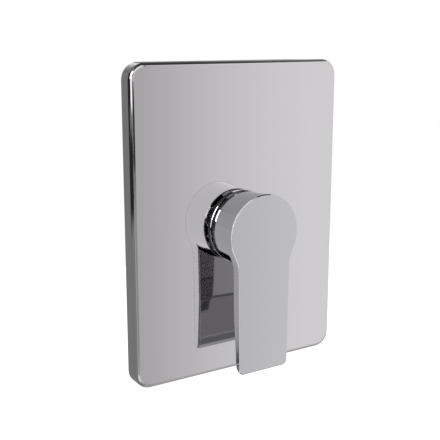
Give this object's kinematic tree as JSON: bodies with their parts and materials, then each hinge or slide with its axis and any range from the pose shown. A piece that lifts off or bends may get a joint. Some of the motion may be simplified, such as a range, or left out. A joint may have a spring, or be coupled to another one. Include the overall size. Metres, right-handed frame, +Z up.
{
  "type": "concealed shower mixer",
  "caption": "Concealed single-lever shower mixer: rectangular chrome cover plate, flat hanging lever, ceramic-disc cartridge and in-wall valve body.",
  "frame": {"origin": "where the valve axis crosses the finished wall", "axes": "+Y into the wall along the valve axis, +Z up, +X to the right as the user sees it"},
  "size_m": [0.145, 0.0815, 0.19],
  "materials": {
    "polished_chrome": "mirror polished chrome plating",
    "sleeve_chrome": "turned and polished chrome plating",
    "body_brass": "sand-cast brass with machined faces",
    "nut_brass": "turned brass",
    "gasket_foam": "closed-cell foam",
    "seal_rubber": "moulded black rubber",
    "white_nylon": "moulded white plastic",
    "blue_acetal": "moulded blue plastic",
    "red_acetal": "moulded red plastic",
    "ceramic": "lapped alumina ceramic",
    "steel": "ground stainless steel",
    "screw_steel": "oiled steel",
    "index_plastic": "moulded plastic, half blue and half red"
  },
  "bodies": {
    "wall_set": {"cover_plate": "polished_chrome", "plate_gasket": "gasket_foam", "trim_sleeve": "sleeve_chrome", "sleeve_seal": "seal_rubber", "valve_body": "body_brass", "cartridge_nut": "nut_brass", "slip_ring": "white_nylon", "cartridge_housing": "white_nylon", "cartridge_base": "white_nylon", "base_seals": "seal_rubber", "disc_seals": "seal_rubber", "fixed_disc": "ceramic", "stop_ring": "red_acetal"},
    "rotor_set": {"rotor": "white_nylon", "rotor_seal": "seal_rubber", "pivot_pin": "steel"},
    "lever_set": {"stem": "steel", "stem_bush": "white_nylon", "lever_handle": "polished_chrome", "grub_screw": "screw_steel", "screw_cover": "index_plastic"},
    "disc_set": {"disc_carrier": "blue_acetal", "moving_disc": "ceramic"}
  },
  "joints": [
    {"name": "temperature_turn", "type": "hinge", "parent": "wall_set", "child": "rotor_set", "pos_m": [0, 0, 0], "axis": [0, -1, 0], "range_deg": [-50, 50]},
    {"name": "flow_lift", "type": "hinge", "parent": "rotor_set", "child": "lever_set", "pos_m": [0, -0.00655, 0], "axis": [-1, 0, 0], "range_deg": [0, 13]},
    {"name": "disc_slide", "type": "slide", "parent": "rotor_set", "child": "disc_set", "axis": [0, 0, -1], "range_m": [0, 0.0035]}
  ],
  "couplings": [
    {"joint": "disc_slide", "follows": "flow_lift", "m_per_rad": 0.015}
  ]
}
